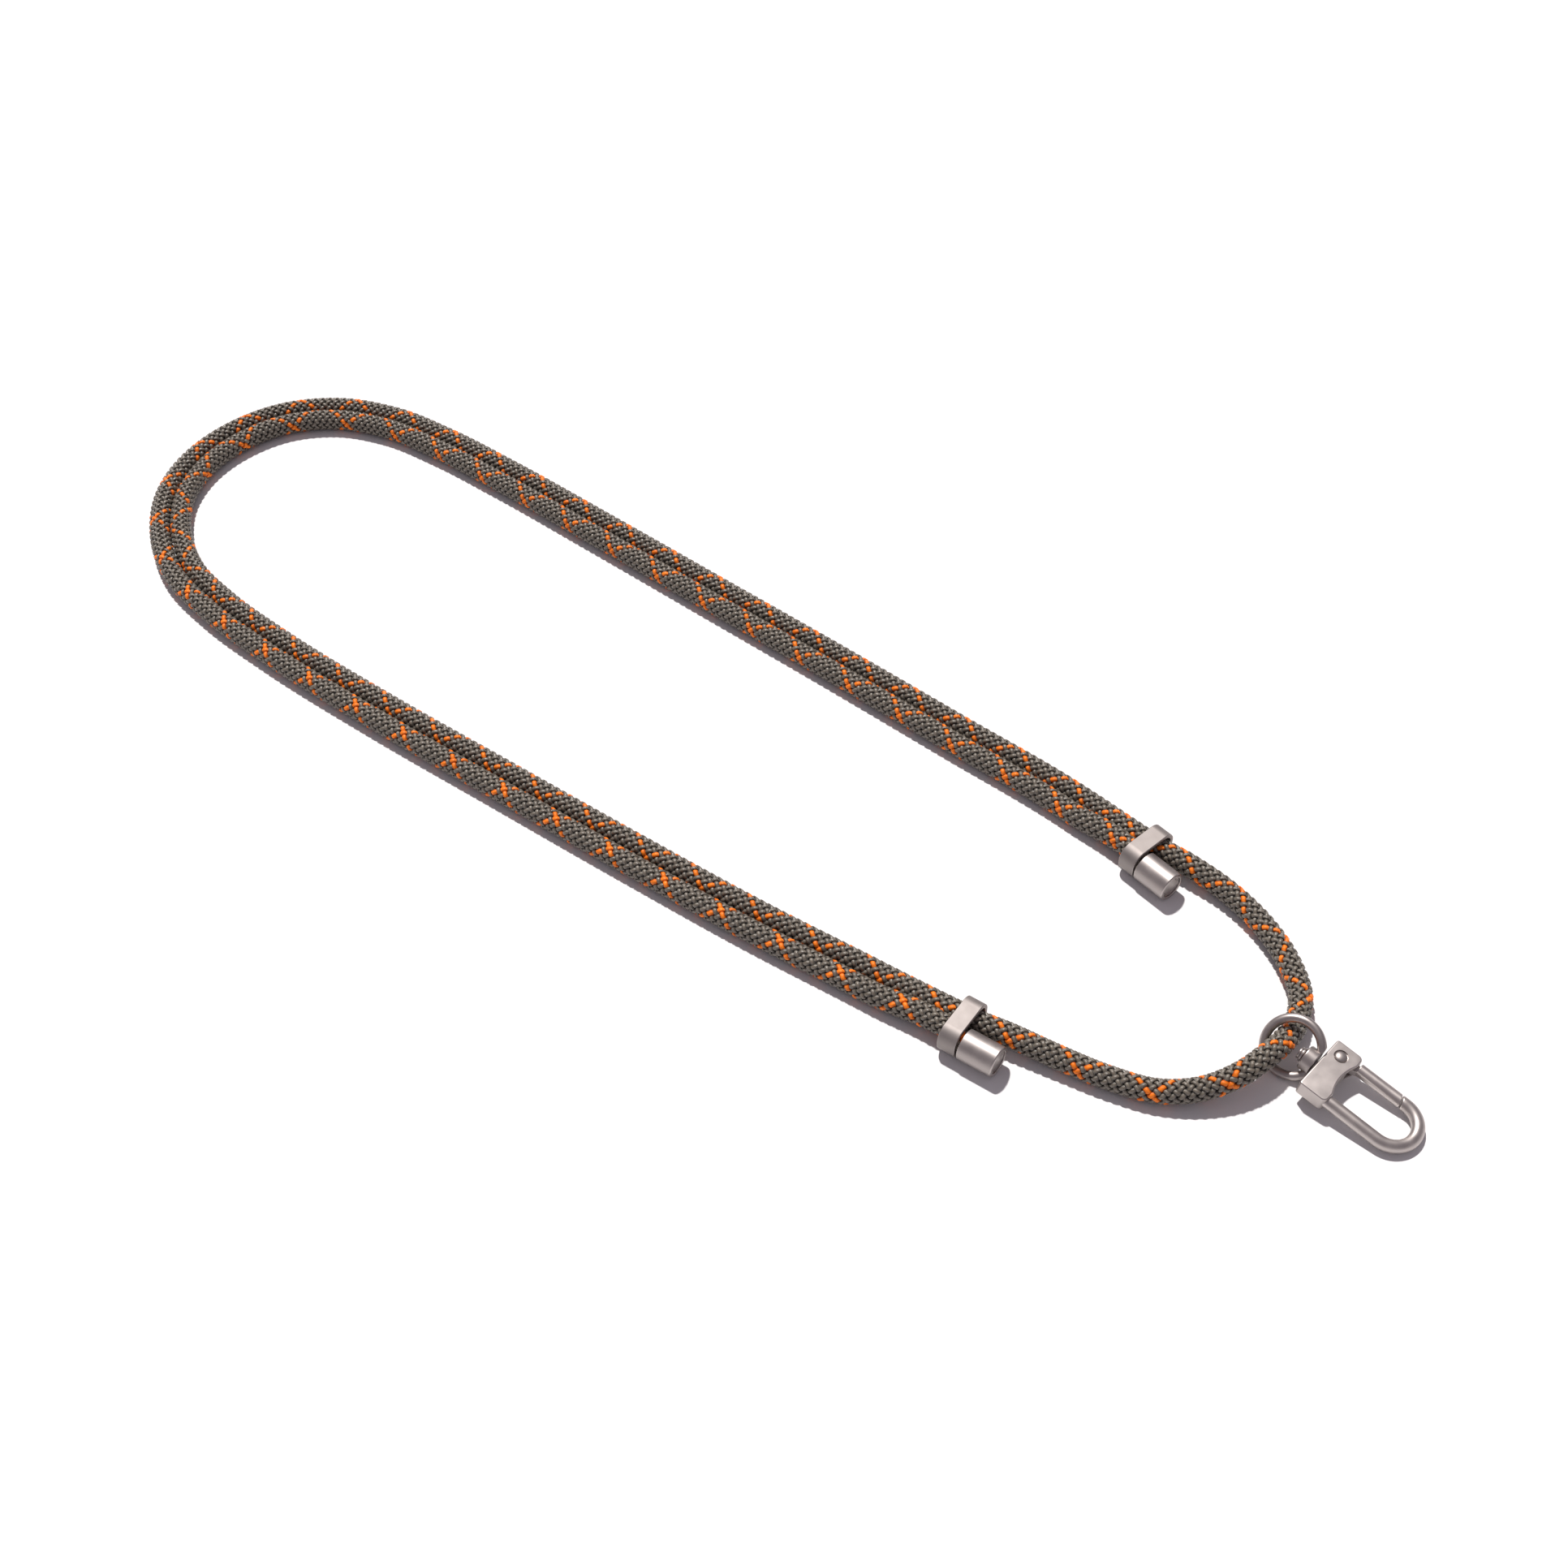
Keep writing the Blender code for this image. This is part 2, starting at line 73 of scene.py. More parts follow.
BAND_LENGTH = 0.0056
BAND_HEIGHT = 0.0098
BAND_SIDE = 0.00035
CAP_WALL = 0.00115
CAP_RADIUS = ROPE_RADIUS * ROPE_CRIMP + GAP + CAP_WALL
CAP_LENGTH = 0.0108
CAP_NECK = 0.0008
CAP_FLOOR = 0.0016
CAP_SHIFT = CAP_RADIUS + ROPE_RADIUS + GAP - RUN_SPACING

OUTER_RUN = [
    (0.1260, 0.0464), (0.1000, 0.0502), (0.0520, 0.0522), (0.0040, 0.0539),
    (-0.0440, 0.0551), (-0.0920, 0.0563), (-0.1400, 0.0571), (-0.1681, 0.0565),
    (-0.1915, 0.0535), (-0.2111, 0.0450), (-0.2248, 0.0305), (-0.2313, 0.0109),
    (-0.2306, -0.0076), (-0.2231, -0.0256), (-0.2086, -0.0406), (-0.1902, -0.0508),
    (-0.1677, -0.0554), (-0.1400, -0.0571), (-0.0920, -0.0568), (-0.0440, -0.0549),
    (0.0040, -0.0529), (0.0520, -0.0503), (0.0920, -0.0468), (0.1193, -0.0450),
]
SINGLE_RUN = [
    (0.1320, -0.0355, 0.0043), (0.1459, -0.0331, 0.0036), (0.1597, -0.0303, 0.0034),
    (0.1719, -0.0261, 0.0036), (0.1809, -0.0192, 0.0047), (0.1872, -0.0100, 0.0068),
    (0.1903, -0.0001, 0.0079), (0.1909, 0.0089, 0.0059), (0.1902, 0.0160, 0.0040),
    (0.1863, 0.0255, 0.0034), (0.1776, 0.0340, 0.0034), (0.1660, 0.0408, 0.0034),
    (0.1512, 0.0454, 0.0036), (0.1380, 0.0464, 0.0044),
]


def chords(points):
    """Lengths between neighbouring points."""
    return [(b - a).length for a, b in zip(points, points[1:])]


def tangents(points):
    """Directions of the smooth curve through the points, weighted by its chords."""
    spans = chords(points)
    slopes = [(b - a) / span for a, b, span in zip(points, points[1:], spans)]
    inner = [(before * after_span + after * before_span) / (before_span + after_span)
             for before, after, before_span, after_span
             in zip(slopes, slopes[1:], spans, spans[1:])]
    return [2 * slopes[0] - inner[0], *inner, 2 * slopes[-1] - inner[-1]]


def beside(points, offset):
    """The same level run, laid on its own left."""
    left = Matrix.Rotation(pi / 2, 3, "Z")
    return [point + offset * (left @ tangent).normalized()
            for point, tangent in zip(points, tangents(points))]


def raised(points):
    """A run that lies on the floor, with its two ends lifted into the slider bands."""
    heights = [BAND_HEIGHT / 2] + [ROPE_REST] * (len(points) - 2) + [BAND_HEIGHT / 2]
    return [Vector((point.x, point.y, height)) for point, height in zip(points, heights)]


def smooth_route(points):
    """Close points of the smooth curve through a route, never under its rest height."""
    directions = tangents(points)
    curve = []
    for index, span in enumerate(chords(points)):
        start, end = points[index], points[index + 1]
        leave, arrive = directions[index] * span, directions[index + 1] * span
        pieces = max(2, ceil(span / ROUTE_STEP))
        for piece in range(pieces):
            t = piece / pieces
            curve.append((2 * t**3 - 3 * t**2 + 1) * start + (t**3 - 2 * t**2 + t) * leave
                         + (3 * t**2 - 2 * t**3) * end + (t**3 - t**2) * arrive)
    curve.append(points[-1])
    lift = Vector((0.0, 0.0, ROPE_PROUD))
    return [Vector((point.x, point.y, max(point.z, ROPE_REST))) + lift for point in curve]


def frame_at(place, along):
    """A frame with X along a direction and Y level, to its left."""
    x = Vector(along).normalized()
    y = Vector((0.0, 0.0, 1.0)).cross(x).normalized()
    matrix = Matrix((x, y, x.cross(y))).transposed().to_4x4()
    matrix.translation = place
    return matrix


outer_run = [Vector((x, y, 0.0)) for x, y in OUTER_RUN]
inner_run = beside(outer_run, RUN_SPACING)
run_directions = tangents(outer_run)
outer_run, inner_run = raised(outer_run), raised(inner_run)
band_frames = {
    "a": frame_at((outer_run[0] + inner_run[0]) / 2, -run_directions[0]),
    "b": frame_at((outer_run[-1] + inner_run[-1]) / 2, run_directions[-1]),
}
to_cap = Matrix.Translation((BAND_LENGTH / 2 + CAP_NECK, -RUN_SPACING / 2 - CAP_SHIFT, 0.0))
cap_frames = {side: band @ to_cap for side, band in band_frames.items()}
cap_depth = Vector((CAP_LENGTH - CAP_FLOOR - GAP, 0.0, 0.0))
tails = {side: [cap.translation.copy(), cap @ cap_depth] for side, cap in cap_frames.items()}
single_run = [Vector(point) for point in SINGLE_RUN]
route = smooth_route([*reversed(tails["a"]), *inner_run, *single_run, *outer_run, *tails["b"]])
route_length = sum(chords(route))


def crimp_at(point):
    """How far the caps squeeze the rope at a point of its route."""
    reach = min((point - mouth).length for mouth, _ in tails.values())
    near = min(1.0, max(0.0, (reach - cap_depth.x) / (BAND_LENGTH / 2)))
    return ROPE_CRIMP + (1.0 - ROPE_CRIMP) * near


def rope_curve(name, radius):
    """A curve along the whole route."""
    data = bpy.data.curves.new(name, "CURVE")
    data.dimensions = "3D"
    data.bevel_depth = radius
    data.bevel_resolution = 3
    data.use_fill_caps = radius > 0.0
    spline = data.splines.new("POLY")
    spline.points.add(len(route) - 1)
    for number, (slot, point) in enumerate(zip(spline.points, route)):
        slot.co = (*point, 1.0)
        slot.radius = crimp_at(point)
        slot.tilt = ROPE_ROLL + ROPE_TWIST * number / len(route)
    item = bpy.data.objects.new(name, data)
    bpy.context.scene.collection.objects.link(item)
    return item


def new_material(name, metallic=0.0, roughness=0.6):
    """A material, with its shader."""
    material = bpy.data.materials.new(name)
    material.use_nodes = True
    shader = material.node_tree.nodes["Principled BSDF"]
    shader.inputs["Metallic"].default_value = metallic
    shader.inputs["Roughness"].default_value = roughness
    return material, shader


def node(tree, kind, links=(), **settings):
    """Add a node, with its settings and what feeds it, by input name or number."""
    item = tree.nodes.new(kind)
    for key, value in settings.items():
        setattr(item, key, value)
    for slot, source in dict(links).items():
        if isinstance(source, bpy.types.NodeSocket):
            tree.links.new(source, item.inputs[slot])
        else:
            item.inputs[slot].default_value = source
    return item


core = rope_curve("rope_core", CORE_RADIUS)
core_material, core_shader = new_material("rope core painted shade", roughness=0.9)
core_tree = core_material.node_tree
core_coords = node(core_tree, "ShaderNodeTexCoord")
core_noise = node(core_tree, "ShaderNodeTexNoise", {"Vector": core_coords.outputs["Object"],
                                                    "Scale": 1500.0, "Detail": 2.0})
# Near-black colour: painted shade for the gaps between the yarns, where the core shows
core_shade = node(core_tree, "ShaderNodeMix", {0: core_noise.outputs["Fac"],
                                               6: (0.010, 0.009, 0.007, 1.0),
                                               7: (0.035, 0.033, 0.026, 1.0)}, data_type="RGBA")
core_tree.links.new(core_shade.outputs[2], core_shader.inputs["Base Color"])
core.data.materials.append(core_material)
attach(core, "strap")
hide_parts("rope")


# Braid
# Sixteen fat polyester yarns are braided one over, one under, round the core: eight wind
# each way. One of each eight is orange, the others are olive grey.
WAYS = {"left": 1, "right": -1}
# The orange carrier of each way
TRACER = {1: 0, -1: 1}
CARRIERS = 8
BRAID_TURNS = 86
TURN_STEPS = 48
BRAID_TRIM = 0.001
TURN_LENGTH = (route_length - BRAID_TRIM) / BRAID_TURNS
BRAID_RADIUS = 0.00286
BRAID_SWING = 0.00028
# How much of the space between its neighbours a yarn fills: the orange one is the fullest
OLIVE_FILL = 0.86
TRACER_FILL = 0.96
# How flat a yarn lies over each crossing, before it dips
YARN_PRESS = 2.2
YARN_RELIEF = 0.00008
# Each yarn's colour, then a darker colour painted on its sides as shade where it dips between
# its neighbours
OLIVE = (0.158, 0.132, 0.100)
OLIVE_PAINTED_SHADE = (0.024, 0.019, 0.013)
ORANGE = (1.0, 0.235, 0.014)
ORANGE_PAINTED_SHADE = (0.55, 0.085, 0.004)
# Across the yarn, and out from its middle
YARN_SECTION = [(-1.0, -0.00016), (-0.60, 0.00021), (0.0, 0.00036), (0.60, 0.00021),
                (1.0, -0.00016), (0.0, -0.00024)]


def lay_carrier(bm, number, way, fill):
    """One turn of a carrier, wound evenly round a straight rope along X."""
    middle = TURN_LENGTH / TURN_STEPS
    start = 2 * pi * (number / CARRIERS + way * middle / TURN_LENGTH)
    ring = []
    for across, out in YARN_SECTION:
        spread = across * fill * pi / (2 * CARRIERS)
        angle = start + spread
        radius = BRAID_RADIUS + out
        along = middle - way * spread * TURN_LENGTH / (2 * pi)
        ring.append(bm.verts.new((along, radius * cos(angle), radius * sin(angle))))
    rim = [bm.edges.new(pair) for pair in zip(ring, ring[1:] + ring[:1])]
    bmesh.ops.spin(bm, geom=ring + rim, cent=(0, 0, 0), axis=(1, 0, 0),
                   dvec=(TURN_LENGTH / TURN_STEPS, 0, 0), angle=way * 2 * pi, steps=TURN_STEPS)


def carrier_phases(co, way):
    """Where a point lies across the carriers of its way, and along them, as angles."""
    angle = atan2(co.z, co.y)
    wound = way * 2 * pi * co.x / TURN_LENGTH
    return angle - wound, angle + wound


def interlace(bm, way):
    """Push the carriers out and in, where they pass over and under the other way's."""
    for vert in bm.verts:
        across, along = carrier_phases(vert.co, way)
        number = round(across * CARRIERS / (2 * pi))
        side = way if number % 2 == 0 else -way
        wave = max(-1.0, min(1.0, YARN_PRESS * cos(CARRIERS / 2 * along)))
        radius = hypot(vert.co.y, vert.co.z)
        grown = (radius + side * BRAID_SWING * wave) / radius
        vert.co.y *= grown
        vert.co.z *= grown


def map_yarn(bm, way, fill):
    """A map along the turn, in turns, and across the yarn, from 0 to 1."""
    layer = bm.loops.layers.uv.new("yarn")
    for face in bm.faces:
        for loop in face.loops:
            across = carrier_phases(loop.vert.co, way)[0] * CARRIERS / (2 * pi)
            loop[layer].uv = (loop.vert.co.x / TURN_LENGTH,
                              (across - round(across)) / fill + 0.5)


def close_ends(bm):
    """Close the cut ends of the plies, inside the caps."""
    cut = [e for e in bm.edges if e.is_boundary]
    bmesh.ops.holes_fill(bm, edges=cut, sides=0)


def make_braid(name, carriers, fill, path, material):
    """Braid some carriers, repeated along the rope and bent along its route."""
    bm = bmesh.new()
    for number, way in carriers:
        part = bmesh.new()
        lay_carrier(part, number, way, fill)
        interlace(part, way)
        map_yarn(part, way, fill)
        unit = bpy.data.meshes.new(name)
        part.to_mesh(unit)
        part.free()
        bm.from_mesh(unit)
        bpy.data.meshes.remove(unit)
    straight = bpy.data.meshes.new(name)
    bm.to_mesh(straight)
    bm.free()
    item = bpy.data.objects.new(name, straight)
    bpy.context.scene.collection.objects.link(item)
    repeat = item.modifiers.new("repeat", "ARRAY")
    repeat.count = BRAID_TURNS
    repeat.use_relative_offset = False
    repeat.use_constant_offset = True
    repeat.constant_offset_displace = (TURN_LENGTH, 0.0, 0.0)
    repeat.use_merge_vertices = True
    repeat.merge_threshold = 0.00002
    repeat.offset_u = 1.0
    bend = item.modifiers.new("bend", "CURVE")
    bend.object = path
    bend.deform_axis = "POS_X"
    graph = bpy.context.evaluated_depsgraph_get()
    laid = bpy.data.meshes.new_from_object(item.evaluated_get(graph), depsgraph=graph)
    bm = bmesh.new()
    bm.from_mesh(laid)
    close_ends(bm)
    bmesh.ops.recalc_face_normals(bm, faces=bm.faces)
    bm.to_mesh(laid)
    bm.free()
    laid.shade_smooth()
    laid.materials.append(material)
    item.modifiers.clear()
    item.data = laid
    laid.name = name
    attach(item, "strap")
    return item


def yarn_group():
    """Twisted filament yarn: fine slanted filaments on each ply, and painted shade on its two
    sides, dark between the plies.
    """
    group = bpy.data.node_groups.new("twisted yarn", "ShaderNodeTree")
    face = group.interface
    face.new_socket("Colour", in_out="INPUT", socket_type="NodeSocketColor")
    face.new_socket("Painted Groove Shade", in_out="INPUT", socket_type="NodeSocketColor")
    face.new_socket("Colour", in_out="OUTPUT", socket_type="NodeSocketColor")
    face.new_socket("Roughness", in_out="OUTPUT", socket_type="NodeSocketFloat")
    face.new_socket("Height", in_out="OUTPUT", socket_type="NodeSocketFloat")
    inputs = node(group, "NodeGroupInput")
    outputs = node(group, "NodeGroupOutput")
    yarn = node(group, "ShaderNodeUVMap", uv_map="yarn")
    split = node(group, "ShaderNodeSeparateXYZ", {0: yarn.outputs["UV"]})
    # The yarn's two sides, where it dips between its neighbours: painted shade darkens them, and
    # the bump sinks them
    edge = node(group, "ShaderNodeMath", {0: split.outputs["Y"], 1: 0.5}, operation="PINGPONG")
    groove = node(group, "ShaderNodeMapRange", {0: edge.outputs[0], 1: 0.03, 2: 0.34,
                                                3: 0.0, 4: 1.0})
    along = node(group, "ShaderNodeMath", {0: split.outputs["X"], 1: 90.0},
                 operation="MULTIPLY")
    slant = node(group, "ShaderNodeMath", {0: split.outputs["Y"], 1: 26.0, 2: along.outputs[0]},
                 operation="MULTIPLY_ADD")
    position = node(group, "ShaderNodeCombineXYZ", {0: slant.outputs[0], 1: along.outputs[0]})
    stretch = node(group, "ShaderNodeMapping", {"Vector": position.outputs[0],
                                                "Scale": (1.0, 0.12, 1.0)})
    filaments = node(group, "ShaderNodeTexNoise", {"Vector": stretch.outputs[0],
                                                   "Scale": 1.6, "Detail": 3.0})
    coords = node(group, "ShaderNodeTexCoord")
    patches = node(group, "ShaderNodeTexNoise", {"Vector": coords.outputs["Object"],
                                                 "Scale": 420.0, "Detail": 2.0})
    both = node(group, "ShaderNodeMath", {0: filaments.outputs["Fac"],
                                          1: patches.outputs["Fac"]}, operation="ADD")
    value = node(group, "ShaderNodeMapRange", {0: both.outputs[0], 1: 0.7, 2: 1.3,
                                               3: 0.72, 4: 1.28})
    tinted = node(group, "ShaderNodeVectorMath", {0: inputs.outputs["Colour"],
                                                  "Scale": value.outputs[0]},
                  operation="SCALE")
    # Painted shade: the colour darkens to the darker colour towards the yarn's sides
    mixed = node(group, "ShaderNodeMix", {0: groove.outputs[0],
                                          6: inputs.outputs["Painted Groove Shade"],
                                          7: tinted.outputs[0]}, data_type="RGBA")
    rough = node(group, "ShaderNodeMapRange", {0: filaments.outputs["Fac"], 1: 0.3, 2: 0.7,
                                               3: 0.32, 4: 0.50})
    height = node(group, "ShaderNodeMath", {0: filaments.outputs["Fac"],
                                            1: groove.outputs[0]}, operation="ADD")
    group.links.new(mixed.outputs[2], outputs.inputs["Colour"])
    group.links.new(rough.outputs[0], outputs.inputs["Roughness"])
    group.links.new(height.outputs[0], outputs.inputs["Height"])
    return group


twisted_yarn = yarn_group()


def yarn_material(name, color, groove_shade_color, shine, sheen):
    """Braided polyester yarn of one colour, with a darker colour painted on its sides as shade.
    """
    material, shader = new_material(name)
    tree = material.node_tree
    yarn = node(tree, "ShaderNodeGroup", node_tree=twisted_yarn)
    yarn.inputs["Colour"].default_value = (*color, 1.0)
    yarn.inputs["Painted Groove Shade"].default_value = (*groove_shade_color, 1.0)
    bump = node(tree, "ShaderNodeBump", {"Height": yarn.outputs["Height"], "Strength": 0.6,
                                         "Distance": YARN_RELIEF})
    tree.links.new(yarn.outputs["Colour"], shader.inputs["Base Color"])
    tree.links.new(yarn.outputs["Roughness"], shader.inputs["Roughness"])
    tree.links.new(bump.outputs["Normal"], shader.inputs["Normal"])
    shader.inputs["Specular IOR Level"].default_value = shine
    shader.inputs["Sheen Weight"].default_value = sheen
    shader.inputs["Sheen Roughness"].default_value = 0.45
    return material


olive_yarn = yarn_material("olive grey yarn", OLIVE, OLIVE_PAINTED_SHADE, shine=0.85, sheen=0.15)
orange_yarn = yarn_material("orange yarn", ORANGE, ORANGE_PAINTED_SHADE, shine=0.30, sheen=0.0)

braid_path = rope_curve("braid_path", 0.0)
braids = [make_braid("braid_tracer", [(TRACER[way], way) for way in TRACER], TRACER_FILL,
                     braid_path, orange_yarn)]
for way_name, way in WAYS.items():
    olive = [(number, way) for number in range(CARRIERS) if number != TRACER[way]]
    for part, carriers in (("a", olive[:4]), ("b", olive[4:])):
        braids.append(make_braid(f"braid_{way_name}_{part}", carriers, OLIVE_FILL, braid_path,
                                 olive_yarn))
bpy.data.objects.remove(braid_path, do_unlink=True)


# Slider bands
# Each band is a flat ring cut from drawn tube and satin plated, with its rims broken by
# tumbling. It holds two runs of the rope side by side and slides along them.
BAND_WALL = 0.0012
BAND_WIDTH = RUN_SPACING + BAND_HEIGHT + 2 * BAND_SIDE
BAND_FLAT = 0.0007
BAND_CORNER = BAND_HEIGHT / 2 - BAND_FLAT
BAND_RIM = 0.00028
ROUND_STEPS = 4
GRAIN_DEPTH = 0.00002
# Edges that turn by less than this are shaded smooth, and those between the two rub bright
SHARP_ANGLE = radians(38.0)
WORN_ANGLES = (radians(14.0), radians(50.0))
NICKEL = (0.43, 0.39, 0.375)
# A darker copy of the nickel colour for the bands: painted shade that dims the sun's glint on
# their tops
NICKEL_PAINTED_DARKER = (0.33, 0.298, 0.286)


def satin_group():
    """Satin nickel: blasted grain, cloudy patches, hairline marks and rubbed edges."""
    group = bpy.data.node_groups.new("satin nickel", "ShaderNodeTree")
    face = group.interface
    face.new_socket("Colour", in_out="INPUT", socket_type="NodeSocketColor")
    face.new_socket("Roughness", in_out="INPUT", socket_type="NodeSocketFloat")
    face.new_socket("Colour", in_out="OUTPUT", socket_type="NodeSocketColor")
    face.new_socket("Roughness", in_out="OUTPUT", socket_type="NodeSocketFloat")
    face.new_socket("Height", in_out="OUTPUT", socket_type="NodeSocketFloat")
    inputs = node(group, "NodeGroupInput")
    outputs = node(group, "NodeGroupOutput")
    coords = node(group, "ShaderNodeTexCoord")
    wear = node(group, "ShaderNodeAttribute", attribute_name="wear")
    grain = node(group, "ShaderNodeTexNoise", {"Vector": coords.outputs["Object"],
                                               "Scale": 7000.0, "Detail": 2.0})
    clouds = node(group, "ShaderNodeTexNoise", {"Vector": coords.outputs["Object"],
                                                "Scale": 260.0, "Detail": 4.0})
    turned_coords = node(group, "ShaderNodeMapping",
                         {"Vector": coords.outputs["Object"], "Rotation": (0.4, 0.9, 0.6),
                          "Scale": (2600.0, 2600.0, 120.0)})
    hairlines = node(group, "ShaderNodeTexNoise", {"Vector": turned_coords.outputs[0],
                                                   "Scale": 1.0, "Detail": 1.0})
    marks = node(group, "ShaderNodeMapRange", {0: hairlines.outputs["Fac"], 1: 0.66, 2: 0.74,
                                               3: 0.0, 4: 1.0})
    shade = node(group, "ShaderNodeMapRange", {0: clouds.outputs["Fac"], 1: 0.3, 2: 0.7,
                                               3: 0.93, 4: 1.04})
    rubbed = node(group, "ShaderNodeMath", {0: wear.outputs["Fac"], 1: 0.14,
                                            2: shade.outputs[0]}, operation="MULTIPLY_ADD")
    tinted = node(group, "ShaderNodeVectorMath", {0: inputs.outputs["Colour"],
                                                  "Scale": rubbed.outputs[0]},
                  operation="SCALE")
    patchy = node(group, "ShaderNodeMapRange", {0: clouds.outputs["Fac"], 1: 0.3, 2: 0.7,
                                                3: -0.035, 4: 0.045})
    rough = node(group, "ShaderNodeMath", {0: inputs.outputs["Roughness"],
                                           1: patchy.outputs[0]}, operation="ADD")
    smooth = node(group, "ShaderNodeMath", {0: wear.outputs["Fac"], 1: -0.08,
                                            2: rough.outputs[0]}, operation="MULTIPLY_ADD")
    height = node(group, "ShaderNodeMath", {0: marks.outputs[0], 1: -0.5,
                                            2: grain.outputs["Fac"]},
                  operation="MULTIPLY_ADD")
    group.links.new(tinted.outputs[0], outputs.inputs["Colour"])
    group.links.new(smooth.outputs[0], outputs.inputs["Roughness"])
    group.links.new(height.outputs[0], outputs.inputs["Height"])
    return group


satin_plate = satin_group()


def nickel_material(name, roughness, color=NICKEL):
    """Satin nickel plate on one fitting."""
    material, shader = new_material(name, metallic=1.0)
    tree = material.node_tree
    plate = node(tree, "ShaderNodeGroup", node_tree=satin_plate)
    plate.inputs["Colour"].default_value = (*color, 1.0)
    plate.inputs["Roughness"].default_value = roughness
    bump = node(tree, "ShaderNodeBump", {"Height": plate.outputs["Height"],
                                         "Strength": 0.2, "Distance": GRAIN_DEPTH})
    tree.links.new(plate.outputs["Colour"], shader.inputs["Base Color"])
    tree.links.new(plate.outputs["Roughness"], shader.inputs["Roughness"])
    tree.links.new(bump.outputs["Normal"], shader.inputs["Normal"])
    return material


def bevel(bm, edges, offset, segments=ROUND_STEPS):
    """Round some edges."""
    bmesh.ops.bevel(bm, geom=edges, offset=offset, segments=segments, profile=0.5,
                    affect="EDGES", material=-1, clamp_overlap=True)


def sharp_edges(bm, angle):
    """The edges that turn by more than an angle, in degrees."""
    return [e for e in bm.edges if e.is_manifold and e.calc_face_angle() > radians(angle)]


def mark_wear(bm):
    """Mark the points on rounded edges, which rub brighter than the faces between them."""
    layer = bm.verts.layers.float.new("wear")
    for vert in bm.verts:
        turns = [e.calc_face_angle() for e in vert.link_edges if e.is_manifold]
        vert[layer] = float(bool(turns) and WORN_ANGLES[0] < max(turns) < WORN_ANGLES[1])


def metal_piece(name, bm, place, body, material, replaced):
    """Place a finished mesh, and give it its body and the CAD node it replaces."""
    bmesh.ops.transform(bm, matrix=place, verts=bm.verts)
    bmesh.ops.recalc_face_normals(bm, faces=bm.faces)
    mark_wear(bm)
    data = bpy.data.meshes.new(name)
    bm.to_mesh(data)
    bm.free()
    data.shade_smooth()
    data.set_sharp_from_angle(angle=SHARP_ANGLE)
    data.materials.append(material)
    item = bpy.data.objects.new(name, data)
    bpy.context.scene.collection.objects.link(item)
    even = item.modifiers.new("even", "WEIGHTED_NORMAL")
    even.keep_sharp = True
    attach(item, body)
    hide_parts(replaced)
    return item


for side, band_frame in band_frames.items():
    band = bmesh.new()
    size = Matrix.Diagonal((BAND_LENGTH, BAND_WIDTH, BAND_HEIGHT, 1.0))
    bmesh.ops.create_cube(band, size=1.0, matrix=size)
    bevel(band, [e for e in band.edges if abs(e.verts[0].co.x - e.verts[1].co.x) > GAP],
          BAND_CORNER, 12)
    ends = [f for f in band.faces if abs(f.normal.x) > 0.9]
    bmesh.ops.inset_region(band, faces=ends, thickness=BAND_WALL)
    bmesh.ops.delete(band, geom=ends, context="FACES_ONLY")
    bmesh.ops.bridge_loops(band, edges=[e for e in band.edges if e.is_boundary])
    bevel(band, sharp_edges(band, 60.0), BAND_RIM)
    metal_piece(f"band_{side}_plate", band, band_frame, "strap",
                nickel_material(f"satin nickel band {side}", 0.60, NICKEL_PAINTED_DARKER),
                f"slider_band_{side}")


# End caps
# Each cap is a turned cup crimped over the rope's end beside the single run. Its closed
# end has a raised rim round a sunk face with one fine turned groove.
CAP_SINK = 0.0006
CAP_RIM = 0.0007
CAP_EDGE = 0.0004
CAP_STEPS = 96
GROOVE_RADIUS = 0.0027
GROOVE_HALF = 0.0001
GROOVE_DEPTH = 0.0002


def softened(outline):
    """Points of an outline whose corners are rounded by the amount given with each."""
    points = []
    for index, (along, out, amount) in enumerate(outline):
        corner = Vector((along, out))
        if amount == 0.0:
            points.append(corner)
            continue
        start = corner + (Vector(outline[index - 1][:2]) - corner).normalized() * amount
        following = Vector(outline[(index + 1) % len(outline)][:2])
        end = corner + (following - corner).normalized() * amount
        for step in range(ROUND_STEPS + 1):
            t = step / ROUND_STEPS
            points.append(start.lerp(corner, t).lerp(corner.lerp(end, t), t))
    return points


def turned(outline, steps, closed=False):
    """A solid turned about X from its outline; a closed outline goes round a bore."""
    bm = bmesh.new()
    verts = [bm.verts.new((point.x, point.y, 0.0)) for point in softened(outline)]
    ends = [(verts[-1], verts[0])] if closed else []
    edges = [bm.edges.new(pair) for pair in [*zip(verts, verts[1:]), *ends]]
    bmesh.ops.spin(bm, geom=verts + edges, cent=(0, 0, 0), axis=(1, 0, 0), dvec=(0, 0, 0),
                   angle=2 * pi, steps=steps, use_merge=True)
    bmesh.ops.remove_doubles(bm, verts=bm.verts, dist=1e-7)
    return bm


